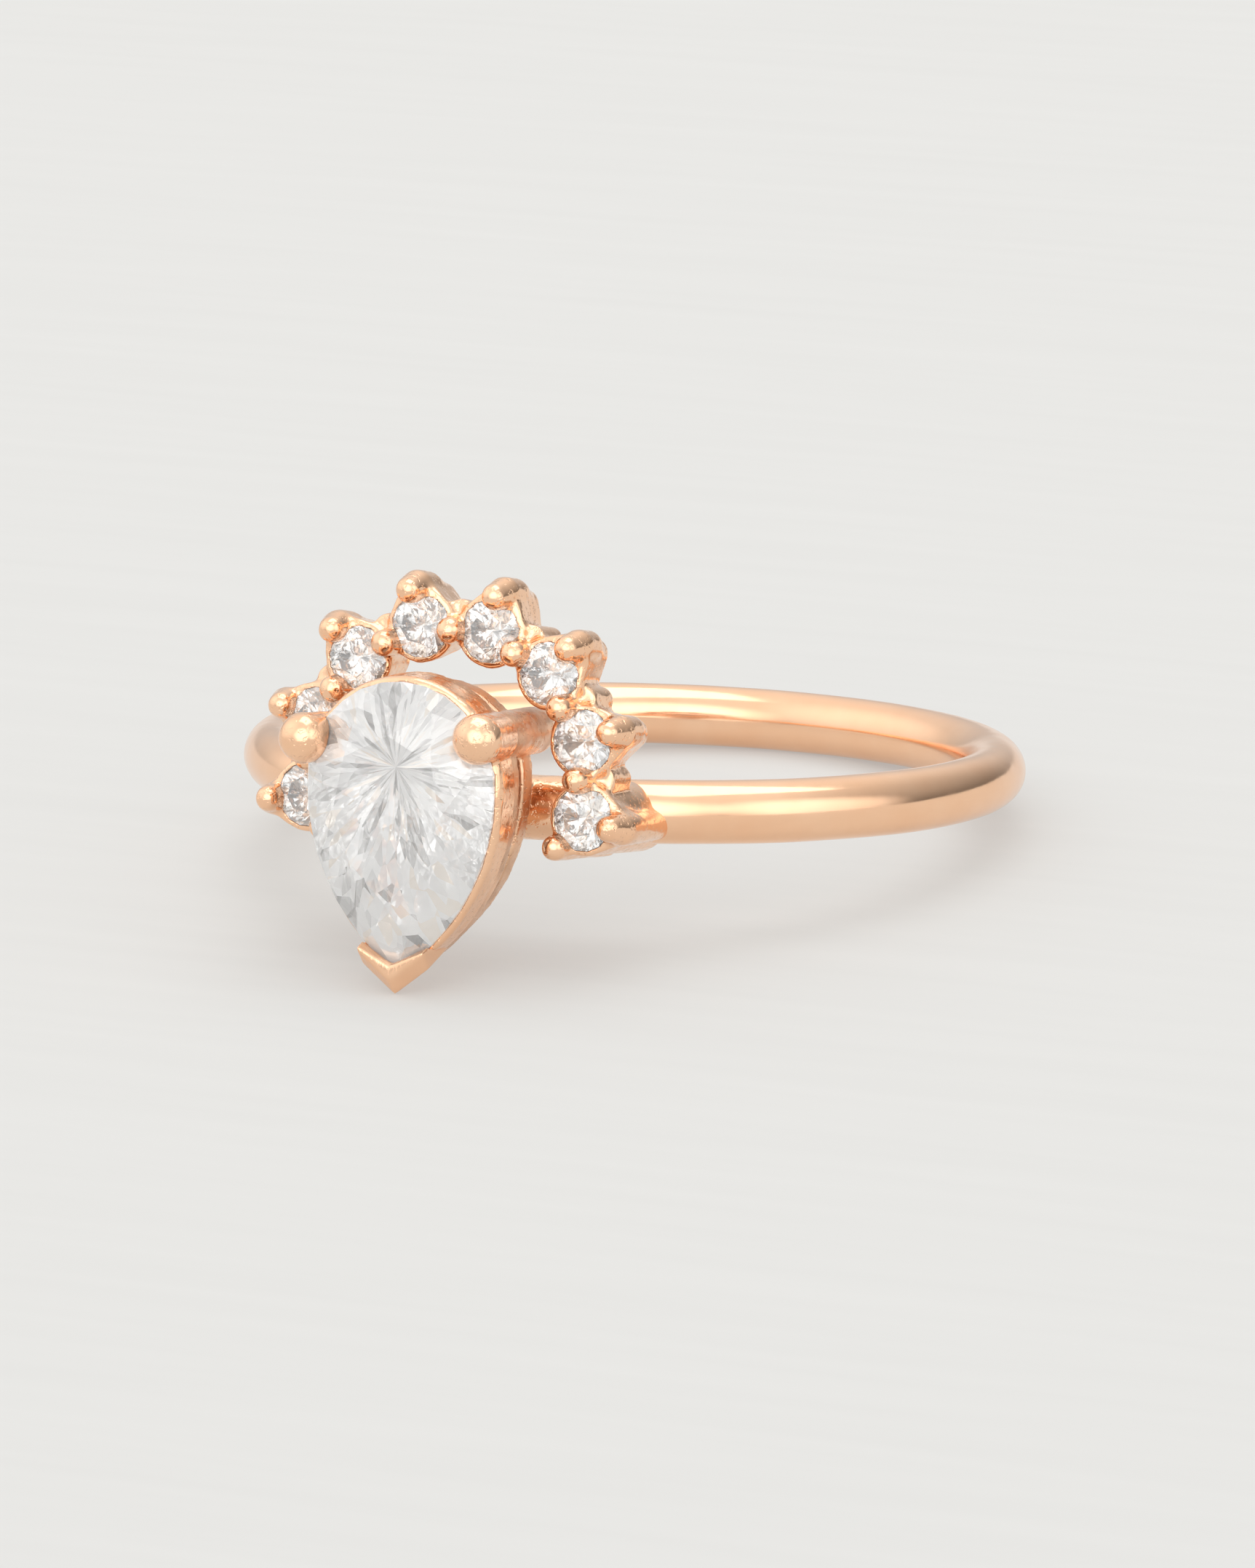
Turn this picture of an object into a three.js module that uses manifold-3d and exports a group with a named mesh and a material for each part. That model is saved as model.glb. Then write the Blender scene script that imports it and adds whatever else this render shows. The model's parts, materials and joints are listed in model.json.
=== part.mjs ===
import * as THREE from 'three';
import { mergeVertices } from 'three/addons/utils/BufferGeometryUtils.js';
import Module from 'manifold-3d';

const wasm = await Module();
wasm.setup();

// An engagement ring: a round wire band, a pear diamond in a claw basket, and an arch of
// small round diamonds behind it. All sizes are in millimetres and all angles in degrees.

// The band is a plain round wire bent to a full circle about the finger.
const bandRadius = 9.3;
const wireRadius = 0.8;

// Soldered joints and stone seats keep this clearance between two pieces.
const seam = 0.03;

// The pear diamond. Its girdle plane stands in front of the band by pearStand, and the
// centre of its round end lies above the arch's centre by pearOffset.
const pearWidth = 5.14;
const pearLength = 7.25;
const pearTipAngle = 58;
const pearStand = 3.55;
const pearOffset = 0.16;
const pearCut = { girdle: 0.12, crown: 0.74, pavilion: 2.12, table: 0.58, culet: -0.45 };

// The small round diamonds of the arch, and the collets that hold them.
const smallWidth = 1.6;
const smallCut = { girdle: 0.06, crown: 0.24, pavilion: 0.69, table: 0.56, culet: 0 };
const smallCount = 8;
const colletWall = 0.146;
const colletHole = 0.4;

// The arch stands in front of the band by archStand and leans back. Its stones clear the
// pear's outline by archGap. Its end stones sit on the band, endRise above the wire's middle.
// The settings between them are archDepth deep.
const archStand = 1.06;
const archGap = 0.516;
const archLean = 5.5;
const archDepth = 1.6;
const endRise = 0.12;

// Claws: ball radius at the front, wire radius at the root.
const outerClaw = { ball: 0.31, root: 0.4, rise: 0.42, overlap: 0.1 };
const sharedClaw = { ball: 0.31, root: 0.26, rise: 0.42, inset: 0.04 };
const endClaw = { ball: 0.3, root: 0.28, rise: 0.34, side: 0.6, drop: 0.76 };
const shoulderClaw = { ball: 0.64, root: 0.5, rise: 0.46, overlap: 0.53, lean: 0.5 };
const shoulderAngles = { left: 22.5, right: 30.5 };

// The V claw round the pear's tip. Its arms narrow outward: their top edges are flatter.
const vClawAngle = 52;
const vClawTopAngle = 65;
const vClawWall = 0.42;
const vClawHalfWidth = 0.92;
const vClawRise = 0.46;
const vClawCover = 0.32;
const vClawLean = 20;
const vClawFiling = 48;

// Rails of the pear's basket: offset from the girdle outline, depth behind the girdle.
const upperRail = { out: 0.12, wall: 0.92, front: 0.05, depth: 1.15 };
const middleRail = { out: -0.2, wall: 0.85, front: 2.05, depth: 0.55 };
const headBase = { out: -0.85, wall: 0.5, sink: 0.4 };

// Facets of the round forms. The band has two corners at its very back, so that it lies flat.
const bandSteps = 66;
const wireSides = 12;
const roundSides = 16;
const clawSides = 10;

const pearFront = bandRadius + wireRadius + pearStand;
const archPlane = bandRadius + wireRadius + archStand;
const archBack = bandRadius + wireRadius / 2;
const archDeep = archPlane - archBack + 3 * wireRadius;
const smallRadius = smallWidth / 2;
const archRadius = pearWidth / 2 + archGap + smallRadius;
const pitch = smallWidth + 2 * colletWall + seam;
const pitchAngle = 2 * Math.asin(pitch / (2 * archRadius));
const archRise = endRise - archRadius * Math.cos((pitchAngle * (smallCount - 1)) / 2);
const pearRise = archRise + pearOffset;

const radians = THREE.MathUtils.degToRad;
const vec = (x, y, z) => new THREE.Vector3(x, y, z);
const flat = (x, y) => new THREE.Vector2(x, y);

// ---- Solids ----

function toSolid(geometry) {
  const bare = geometry.clone();
  bare.deleteAttribute('normal');
  bare.deleteAttribute('uv');
  const merged = mergeVertices(bare, 1e-5);
  return new wasm.Manifold(
    new wasm.Mesh({
      numProp: 3,
      vertProperties: new Float32Array(merged.attributes.position.array),
      triVerts: new Uint32Array(merged.index.array),
    }),
  );
}

function toGeometry(solid) {
  const mesh = solid.getMesh();
  const geometry = new THREE.BufferGeometry();
  geometry.setAttribute('position', new THREE.BufferAttribute(mesh.vertProperties, 3));
  geometry.setIndex(new THREE.BufferAttribute(mesh.triVerts, 1));
  geometry.computeVertexNormals();
  return geometry;
}

function cutAll(solid, cutters) {
  let rest = solid;
  for (const cutter of cutters) {
    rest = rest.subtract(cutter);
  }
  return rest;
}

function extruded(outline, hole, back, front) {
  const shape = new THREE.Shape(outline);
  if (hole) {
    shape.holes.push(new THREE.Path(hole));
  }
  const geometry = new THREE.ExtrudeGeometry(shape, { depth: front - back, bevelEnabled: false });
  geometry.translate(0, 0, back);
  return toSolid(geometry);
}

// A turned form about the line x, y, running out of the finger: points are radius and height.
function turned(points, x, y, sides) {
  const geometry = new THREE.LatheGeometry(points, sides);
  geometry.rotateX(Math.PI / 2);
  geometry.translate(x, y, 0);
  return toSolid(geometry);
}

// A claw is a tapered wire with a ball at its front end.
function clawSolid(ball, root, ballRadius, rootRadius) {
  const along = ball.clone().sub(root);
  const profile = [flat(0, -along.length()), flat(rootRadius, -along.length())];
  for (const turn of [0, 30, 60]) {
    const angle = radians(turn);
    profile.push(flat(ballRadius * Math.cos(angle), ballRadius * Math.sin(angle)));
  }
  profile.push(flat(0, ballRadius));
  const geometry = new THREE.LatheGeometry(profile, clawSides);
  const turn = new THREE.Quaternion().setFromUnitVectors(vec(0, 1, 0), along.normalize());
  geometry.applyQuaternion(turn);
  geometry.translate(ball.x, ball.y, ball.z);
  return toSolid(geometry);
}

// ---- Outlines ----

function circlePath(radius) {
  return new THREE.Path().absarc(0, 0, radius, -Math.PI / 2, 1.5 * Math.PI, false);
}

// A pear outline about the centre of its round end: two long arcs meet at the tip and run
// into the round end without a corner. It starts at the tip and grow moves it outward.
function pearPath(grow) {
  const round = pearWidth / 2;
  const reach = pearLength - round;
  const tip = radians(pearTipAngle);
  const side = (reach ** 2 - round ** 2) / (2 * (reach * Math.sin(tip) - round));
  const centreX = side * Math.cos(tip);
  const centreY = side * Math.sin(tip) - reach;
  const start = -Math.acos(centreX / (side + grow));
  const join = Math.atan2(-centreY, centreX);
  const path = new THREE.Path();
  path.absarc(-centreX, centreY, side + grow, start, join, false);
  path.absarc(0, 0, round + grow, join, Math.PI - join, false);
  path.absarc(centreX, centreY, side + grow, Math.PI - join, Math.PI - start, false);
  return path;
}

function pointsAlong(path, count) {
  const points = [];
  for (let i = 0; i < count; i++) {
    points.push(path.getPointAt(i / count));
  }
  return points;
}

// ---- Diamonds ----

function keepBehind(solid, a, b, c) {
  const plane = new THREE.Plane().setFromCoplanarPoints(a, b, c);
  if (plane.distanceToPoint(vec(0, 0, 0)) > 0) {
    plane.negate();
  }
  return solid.trimByPlane(plane.normal.clone().negate().toArray(), plane.constant);
}

function planeAlong(point, tangent, target) {
  return new THREE.Plane().setFromCoplanarPoints(point, point.clone().add(tangent), target);
}

function meet(a, b, height) {
  const direction = a.normal.clone().cross(b.normal);
  const level = new THREE.Plane(vec(0, 0, 1), -height);
  const point = vec(0, 0, 0);
  point.addScaledVector(b.normal.clone().cross(level.normal), -a.constant);
  point.addScaledVector(level.normal.clone().cross(a.normal), -b.constant);
  point.addScaledVector(direction, -level.constant);
  return point.divideScalar(direction.dot(level.normal));
}

// One side of a brilliant: eight main facets, and the pairs between them. The crown also
// has eight star facets round its table.
function halfCut(solid, path, cut, sign, height, inner, meetHeight) {
  const edge = (sign * cut.girdle) / 2;
  const girdle = [];
  const inside = [];
  const mains = [];
  for (let k = 0; k < 16; k++) {
    const p = path.getPointAt(k / 16);
    const t = k === 0 ? flat(1, 0) : path.getTangentAt(k / 16);
    girdle.push(vec(p.x, p.y, edge));
    inside.push(vec(p.x * inner, cut.culet + (p.y - cut.culet) * inner, edge + sign * height));
    mains.push(planeAlong(girdle[k], vec(t.x, t.y, 0), inside[k]));
  }
  let rest = solid;
  for (let k = 1; k < 16; k += 2) {
    const before = k - 1;
    const after = (k + 1) % 16;
    const point = meet(mains[before], mains[after], edge + sign * meetHeight);
    rest = keepBehind(rest, point, girdle[k], girdle[before]);
    rest = keepBehind(rest, point, girdle[k], girdle[after]);
    rest = keepBehind(rest, girdle[before], point, inside[before]);
    if (inner > 0) {
      rest = keepBehind(rest, point, inside[before], inside[after]);
    }
  }
  return rest;
}

function brilliant(path, cut, steps) {
  const half = cut.girdle / 2;
  const blank = extruded(pointsAlong(path, steps), null, -half - cut.pavilion, half + cut.crown);
  const crowned = halfCut(blank, path, cut, 1, cut.crown, cut.table, cut.crown * 0.52);
  return halfCut(crowned, path, cut, -1, cut.pavilion, 0, cut.pavilion * 0.72);
}

const grownCut = (cut) => ({
  ...cut,
  girdle: cut.girdle + 2 * seam,
  crown: cut.crown + seam,
  pavilion: cut.pavilion + seam,
});

// ---- Places of the small diamonds ----

const smallPlaces = [];
for (let i = 0; i < smallCount; i++) {
  const angle = (i - (smallCount - 1) / 2) * pitchAngle;
  const out = flat(Math.sin(angle), Math.cos(angle));
  smallPlaces.push({
    name: String(i + 1),
    centre: flat(out.x * archRadius, archRise + out.y * archRadius),
    out,
    isEnd: i === 0 || i === smallCount - 1,
    side: Math.sign(angle),
  });
}

// ---- Forms that cut their neighbours ----

function wireSolid(grow) {
  const geometry = new THREE.TorusGeometry(bandRadius, wireRadius + grow, wireSides, bandSteps);
  geometry.rotateX(Math.PI / 2);
  return toSolid(geometry);
}

function fingerSolid(radius) {
  const geometry = new THREE.CylinderGeometry(radius, radius, 4 * pearLength, 72);
  return toSolid(geometry);
}

// The space of a small diamond with its clearance, which also clears the way to its front.
function smallSeat(place, open) {
  const radius = smallRadius + seam;
  const half = smallCut.girdle / 2;
  const table = smallRadius * smallCut.table + seam;
  const profile = [flat(0, -half - smallCut.pavilion - seam), flat(radius, -half)];
  if (open) {
    profile.push(flat(radius, 2), flat(0, 2));
  } else {
    profile.push(flat(radius, half), flat(table, half + smallCut.crown + seam));
    profile.push(flat(0, half + smallCut.crown + seam));
  }
  return turned(profile, place.centre.x, place.centre.y, roundSides);
}

// The arch has its own axes: x and y in its girdle plane, z out of the stones' tables.
const intoArch = (solid) => solid.translate([0, 0, -archPlane]).rotate([archLean, 0, 0]);

const backOf = (place) => (place.isEnd ? -archDeep : -archDepth);

const bandSpace = wireSolid(seam);
const endSpaces = [intoArch(bandSpace), intoArch(fingerSolid(archBack))];
const archSpacesOf = (place) => (place.isEnd ? endSpaces : []);

// ---- Claws of the arch ----

function outerClawSolid(place, grow) {
  const reach = smallRadius + outerClaw.overlap;
  const x = place.centre.x + place.out.x * reach;
  const y = place.centre.y + place.out.y * reach;
  const ball = vec(x, y, outerClaw.rise);
  const root = vec(x, y, backOf(place));
  return clawSolid(ball, root, outerClaw.ball + grow, outerClaw.root + grow);
}

function sharedClawSolid(before, after, grow) {
  const x = (before.centre.x + after.centre.x) / 2;
  const y = (before.centre.y + after.centre.y) / 2;
  const inward = flat(-x, archRise - y).normalize().multiplyScalar(sharedClaw.inset);
  const ball = vec(x + inward.x, y + inward.y, sharedClaw.rise);
  const root = vec(ball.x, ball.y, -archDepth);
  return clawSolid(ball, root, sharedClaw.ball + grow, sharedClaw.root + grow);
}

function endClawSolid(place, grow) {
  const x = place.centre.x - place.side * endClaw.side;
  const y = place.centre.y - endClaw.drop;
  const ball = vec(x, y, endClaw.rise);
  return clawSolid(ball, vec(x, y, -archDeep), endClaw.ball + grow, endClaw.root + grow);
}

// ---- The pear's basket ----

function pearSpace() {
  const space = brilliant(pearPath(seam), grownCut(pearCut), 32);
  return space.translate([0, pearRise, pearFront]);
}

function shoulderClawSolid(side, grow) {
  const angle = radians(side < 0 ? shoulderAngles.left : shoulderAngles.right);
  const reach = pearWidth / 2 + shoulderClaw.ball - shoulderClaw.overlap;
  const rootReach = reach - shoulderClaw.lean;
  const ball = vec(side * reach * Math.cos(angle), pearRise + reach * Math.sin(angle), 0);
  ball.z = pearFront + shoulderClaw.rise;
  const root = vec(side * rootReach * Math.cos(angle), pearRise + rootReach * Math.sin(angle), 0);
  root.z = bandRadius + wireRadius;
  return clawSolid(ball, root, shoulderClaw.ball + grow, shoulderClaw.root + grow);
}

// The V claw is a chevron that leans back under the pear's tip, filed on its two front edges.
function vClawSolid(grow) {
  const slope = 1 / Math.tan(radians(vClawAngle));
  const topSlope = 1 / Math.tan(radians(vClawTopAngle));
  const wall = (vClawWall + grow) / Math.sin(radians(vClawAngle));
  const cover = (vClawCover + grow) / Math.sin(radians(vClawTopAngle));
  const half = vClawHalfWidth + grow;
  const low = -wall;
  const high = cover;
  const outline = [
    flat(0, low),
    flat(half, low + half * slope),
    flat(half, high + half * topSlope),
    flat(0, high),
    flat(-half, high + half * topSlope),
    flat(-half, low + half * slope),
  ];
  const back = bandRadius + wireRadius - headBase.sink - grow;
  const geometry = new THREE.ExtrudeGeometry(new THREE.Shape(outline), {
    depth: pearFront + vClawRise + grow - back,
    bevelEnabled: false,
  });
  geometry.translate(0, 0, back - pearFront);
  const lean = -Math.tan(radians(vClawLean));
  geometry.applyMatrix4(new THREE.Matrix4().makeShear(0, 0, 0, 0, 0, lean));
  geometry.translate(0, pearRise + pearWidth / 2 - pearLength, pearFront);
  return toSolid(geometry);
}

function filed(solid) {
  const filing = radians(vClawFiling);
  const run = radians(vClawAngle);
  const tipY = pearRise + pearWidth / 2 - pearLength;
  let rest = solid;
  for (const side of [-1, 1]) {
    const out = vec(side * Math.cos(run), -Math.sin(run), 0);
    const normal = out.multiplyScalar(Math.sin(filing)).add(vec(0, 0, Math.cos(filing)));
    const point = vec(0, tipY - 0.17, pearFront + vClawRise);
    rest = rest.trimByPlane(normal.clone().negate().toArray(), -normal.dot(point));
  }
  return rest;
}

function railSolid(rail, back, front) {
  const outer = pointsAlong(pearPath(rail.out), 40);
  const inner = pointsAlong(pearPath(rail.out - rail.wall), 40);
  return extruded(outer, inner, back, front).translate([0, pearRise, 0]);
}

// ---- Assembly ----

const group = new THREE.Group();
const ring = new THREE.Group();
const head = new THREE.Group();
group.add(ring);
ring.add(head);

// The head's own axes: x to the right, y along the finger and z away from the finger.
head.rotation.x = Math.PI / 2;

function addPiece(name, geometry, at, material, parent = head) {
  const mesh = new THREE.Mesh(geometry.clone().translate(-at.x, -at.y, -at.z), material);
  mesh.name = name;
  mesh.position.copy(at);
  parent.add(mesh);
  return mesh;
}

const roseGold = () =>
  new THREE.MeshStandardMaterial({ color: 0xe9b48f, roughness: 0.16, metalness: 1 });
const diamond = () =>
  new THREE.MeshStandardMaterial({ color: 0xf4f6f8, roughness: 0.02, metalness: 0 });

addPiece('band', toGeometry(wireSolid(0)), vec(0, 0, 0), roseGold());

const pearStone = brilliant(pearPath(0), pearCut, 32).translate([0, pearRise, pearFront]);
addPiece('pear_diamond', toGeometry(pearStone), vec(0, pearRise, pearFront), diamond());

const shoulderSpaces = [shoulderClawSolid(-1, seam), shoulderClawSolid(1, seam)];
const vClawSpace = vClawSolid(seam);
const clawSpaces = [...shoulderSpaces, vClawSpace];
const basketSpaces = [pearSpace(), bandSpace];

for (const [name, side] of [['left', -1], ['right', 1]]) {
  const solid = cutAll(shoulderClawSolid(side, 0), basketSpaces);
  const at = vec(side * pearWidth / 2, pearRise, pearFront);
  addPiece(name + '_shoulder_claw', toGeometry(solid), at, roseGold());
}

const vClaw = cutAll(filed(vClawSolid(0)), basketSpaces);
addPiece('v_claw', toGeometry(vClaw), vec(0, pearRise - pearLength / 2, pearFront), roseGold());

const upperFront = pearFront - upperRail.front;
const middleFront = pearFront - middleRail.front;
const middleBack = middleFront - middleRail.depth;
const baseBack = bandRadius + wireRadius - headBase.sink;
const rails = [
  ['upper_gallery_rail', railSolid(upperRail, upperFront - upperRail.depth, upperFront)],
  ['middle_gallery_rail', railSolid(middleRail, middleBack, middleFront)],
  ['head_base', railSolid(headBase, baseBack, middleBack - seam)],
];
for (const [name, solid] of rails) {
  const cut = cutAll(solid, [...basketSpaces, ...clawSpaces]);
  addPiece(name, toGeometry(cut), vec(0, pearRise, pearFront), roseGold());
}

const arch = new THREE.Group();
arch.position.z = archPlane;
arch.rotation.x = -radians(archLean);
head.add(arch);

const smallStone = toGeometry(brilliant(circlePath(smallRadius), smallCut, 16));
const colletTube = (back) => [
  flat(0, back),
  flat(smallRadius + colletWall, back),
  flat(smallRadius + colletWall, smallCut.girdle),
  flat(0, smallCut.girdle),
];
const colletBore = [
  flat(0, -2 * archDeep),
  flat(colletHole, -2 * archDeep),
  flat(colletHole, 0),
  flat(0, 0),
];

function clawsRound(index, grow) {
  const place = smallPlaces[index];
  const claws = [outerClawSolid(place, grow)];
  if (index > 0) {
    claws.push(sharedClawSolid(smallPlaces[index - 1], place, grow));
  }
  if (index < smallCount - 1) {
    claws.push(sharedClawSolid(place, smallPlaces[index + 1], grow));
  }
  if (place.isEnd) {
    claws.push(endClawSolid(place, grow));
  }
  return claws;
}

function colletSolid(index) {
  const place = smallPlaces[index];
  const { x, y } = place.centre;
  const bore = turned(colletBore, x, y, roundSides / 2);
  const seat = smallSeat(place, true);
  const cutters = [bore, seat, ...archSpacesOf(place), ...clawsRound(index, seam)];
  return cutAll(turned(colletTube(backOf(place)), x, y, roundSides), cutters);
}

for (const [index, place] of smallPlaces.entries()) {
  const at = vec(place.centre.x, place.centre.y, 0);
  const stone = addPiece('small_diamond_' + place.name, smallStone, vec(0, 0, 0), diamond(), arch);
  stone.position.copy(at);
  stone.rotation.z = -Math.atan2(place.out.x, place.out.y);
  addPiece('collet_' + place.name, toGeometry(colletSolid(index)), at, roseGold(), arch);

  const cutters = [smallSeat(place, false), ...archSpacesOf(place)];
  const outer = toGeometry(cutAll(outerClawSolid(place, 0), cutters));
  addPiece('outer_claw_' + place.name, outer, at, roseGold(), arch);
  if (place.isEnd) {
    const claw = toGeometry(cutAll(endClawSolid(place, 0), cutters));
    addPiece('end_claw_' + place.name, claw, at, roseGold(), arch);
  }
}

for (let i = 1; i < smallCount; i++) {
  const pair = [smallPlaces[i - 1], smallPlaces[i]];
  const cutters = [smallSeat(pair[0], false), smallSeat(pair[1], false)];
  const claw = toGeometry(cutAll(sharedClawSolid(pair[0], pair[1], 0), cutters));
  const at = vec(pair[0].centre.x, pair[0].centre.y, 0);
  addPiece('shared_claw_' + i + '_' + (i + 1), claw, at, roseGold(), arch);
}

// The ring lies on its side. It rests on the back of the band and on the V claw, so it leans
// about x until the lowest corner of the V claw is level with the lowest line of the wire.
function leanAt(out, drop) {
  const span = Math.hypot(out + bandRadius, drop);
  return Math.acos(wireRadius / span) - Math.atan2(out + bandRadius, drop);
}
const corners = vClaw.getMesh().vertProperties;
let lean = 0;
for (let i = 0; i < corners.length; i += 3) {
  lean = Math.max(lean, leanAt(corners[i + 2], -corners[i + 1]));
}
ring.rotation.x = -lean;

export default group;
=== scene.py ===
# %% [markdown]
# An engagement ring lies on its side: a round rose gold wire, a pear diamond in a claw
# basket, and an arch of eight small diamonds behind it. What is made here takes its place
# from them, and its chosen sizes have names.

# %% Load the measured ring
import bpy
import json
import math
from mathutils import Matrix, Quaternion, Vector


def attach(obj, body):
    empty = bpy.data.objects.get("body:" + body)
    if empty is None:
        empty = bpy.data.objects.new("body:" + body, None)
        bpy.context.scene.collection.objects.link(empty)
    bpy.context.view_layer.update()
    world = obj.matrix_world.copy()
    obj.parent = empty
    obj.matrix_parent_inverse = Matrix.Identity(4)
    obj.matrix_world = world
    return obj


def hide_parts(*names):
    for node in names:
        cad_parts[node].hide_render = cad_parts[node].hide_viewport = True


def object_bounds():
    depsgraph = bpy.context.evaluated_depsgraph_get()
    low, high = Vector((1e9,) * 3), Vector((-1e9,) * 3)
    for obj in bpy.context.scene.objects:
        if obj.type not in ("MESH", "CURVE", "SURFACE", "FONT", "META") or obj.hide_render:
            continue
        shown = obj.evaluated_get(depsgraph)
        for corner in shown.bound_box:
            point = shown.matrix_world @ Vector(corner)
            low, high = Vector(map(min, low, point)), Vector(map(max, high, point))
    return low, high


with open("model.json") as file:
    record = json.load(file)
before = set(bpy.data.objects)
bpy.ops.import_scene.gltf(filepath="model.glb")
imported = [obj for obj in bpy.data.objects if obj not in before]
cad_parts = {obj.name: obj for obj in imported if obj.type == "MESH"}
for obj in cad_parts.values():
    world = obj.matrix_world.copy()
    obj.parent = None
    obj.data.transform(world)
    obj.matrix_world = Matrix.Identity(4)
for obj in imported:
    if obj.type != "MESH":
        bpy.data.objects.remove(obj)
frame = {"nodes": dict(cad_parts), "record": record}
cad_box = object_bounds()
nodes = frame["nodes"]
MM = 0.001
print("nodes:", len(nodes), "box:", cad_box)

# %% [markdown]
# The head is turned and leaned, so heights and widths can't be read from upright boxes. The
# largest flat facet of a stone is its table, and the table faces straight out of the setting.
# From it come the directions that the basket and the arch are built along.

# %% Measure the directions of the head


def table_direction(node):
    """The way a stone's table faces, from its largest group of coplanar faces."""
    areas = {}
    for face in nodes[node].data.polygons:
        key = tuple(round(n, 2) for n in face.normal)
        areas[key] = areas.get(key, 0) + face.area
    return Vector(max(areas, key=areas.get)).normalized()


finger_axis = Vector(frame["record"]["mounts"][0]["axis"]).normalized()
right = Vector((1, 0, 0))
pear_out = right.cross(finger_axis).normalized()
arch_out = table_direction("small_diamond_4")
print("pear faces", pear_out, "measured", table_direction("pear_diamond"))
print("arch faces", arch_out)

# %% [markdown]
# A jeweller works in millimetres, with the piece held square in front of the eye. Two benches
# do the same here: on each, x runs to the right, y along the finger and z out of the setting.
# A shape is made on its bench and carried home to the ring in metres when it is finished.

# %% Set up the two benches


def bench_facing(out, origin):
    """Axes that look straight at a setting, with the origin in millimetres."""
    axes = Matrix((right, out.cross(right), out)).transposed().to_4x4()
    axes.translation = origin
    return axes


def on_bench(bench, node):
    """The corners of a measured piece, as they lie on a bench."""
    home = bench.inverted()
    return [home @ (v.co / MM) for v in nodes[node].data.vertices]


def girdle(points):
    """The centre and radius of a stone's widest outline."""
    x = (min(p.x for p in points) + max(p.x for p in points)) / 2
    y = (min(p.y for p in points) + max(p.y for p in points)) / 2
    reach = max(math.hypot(p.x - x, p.y - y) for p in points)
    rim = [p.z for p in points if math.hypot(p.x - x, p.y - y) > 0.98 * reach]
    return Vector((x, y, sum(rim) / len(rim))), reach


head_bench = bench_facing(pear_out, Vector())
stone_plane = girdle(on_bench(bench_facing(arch_out, Vector()), "small_diamond_4"))[0].z
arch_bench = bench_facing(arch_out, pear_out * (stone_plane / pear_out.dot(arch_out)))
print("arch stands", arch_bench.translation.length, "mm from the finger's centre line")

# %% [markdown]
# Each small stone's place decides where its collet and claws go. The outward direction of a
# stone runs from the middle of the arch through the stone.

# %% Measure the stones
stone_numbers = range(1, 9)
stones = [girdle(on_bench(arch_bench, f"small_diamond_{i}"))[0] for i in stone_numbers]
small_radius = girdle(on_bench(arch_bench, "small_diamond_4"))[1]


def circle_centre(a, b, c):
    """The centre of the circle through three places on the bench."""
    d = 2 * (a.x * (b.y - c.y) + b.x * (c.y - a.y) + c.x * (a.y - b.y))
    aa, bb, cc = (p.x ** 2 + p.y ** 2 for p in (a, b, c))
    x = (aa * (b.y - c.y) + bb * (c.y - a.y) + cc * (a.y - b.y)) / d
    y = (aa * (c.x - b.x) + bb * (a.x - c.x) + cc * (b.x - a.x)) / d
    return Vector((x, y, 0))


arch_centre = circle_centre(stones[0], stones[3], stones[7])
outward = [(Vector((p.x, p.y, 0)) - arch_centre).normalized() for p in stones]
pear_points = on_bench(head_bench, "pear_diamond")
pear_width = 5.14
pear_top = max(p.y for p in pear_points)
pear_length = pear_top - min(p.y for p in pear_points)
pear_centre = Vector((0, pear_top - pear_width / 2, girdle(pear_points)[0].z))
print("small radius", small_radius, "arch centre", arch_centre)
print("pear", pear_width, "x", pear_length, "mm about", pear_centre)

# %% [markdown]
# A long lens a little above the ring keeps its circle calm and nearly free of perspective.
# The camera turns about the ring by azimuth, then rises by elevation, and rolls slightly. It
# is made first, because every later choice is judged through it.

# %% Place the camera
azimuth, elevation, roll = math.radians(25.775), math.radians(15.752), math.radians(-2.387)
camera_place = (0.116591, -0.241938, 0.075127)
focal_length, sensor_width = 309.4, 36
toward_camera = Vector((
    math.sin(azimuth) * math.cos(elevation),
    -math.cos(azimuth) * math.cos(elevation),
    math.sin(elevation),
))
aim = toward_camera.to_track_quat("Z", "Y") @ Quaternion((0, 0, 1), roll)
bpy.ops.object.camera_add(location=camera_place, rotation=aim.to_euler())
camera = bpy.context.object
camera.data.sensor_fit = "HORIZONTAL"
camera.data.sensor_width = sensor_width
camera.data.lens = focal_length
camera.data.clip_start = 0.01
bpy.context.scene.camera = camera
print("camera at", tuple(camera.location))

# %% [markdown]
# The ring rests on a matt, warm white sheet over a light table. The light from beneath fills
# the shadows, so only a faint one is left. Fine level streaks of brushed paper keep the sheet
# from looking like an empty background, and it is far larger than the view, so no edge shows.

# %% Lay the floor


def new_material(name):
    material = bpy.data.materials.new(name)
    material.use_nodes = True
    return material, material.node_tree.nodes, material.node_tree.links


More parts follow.
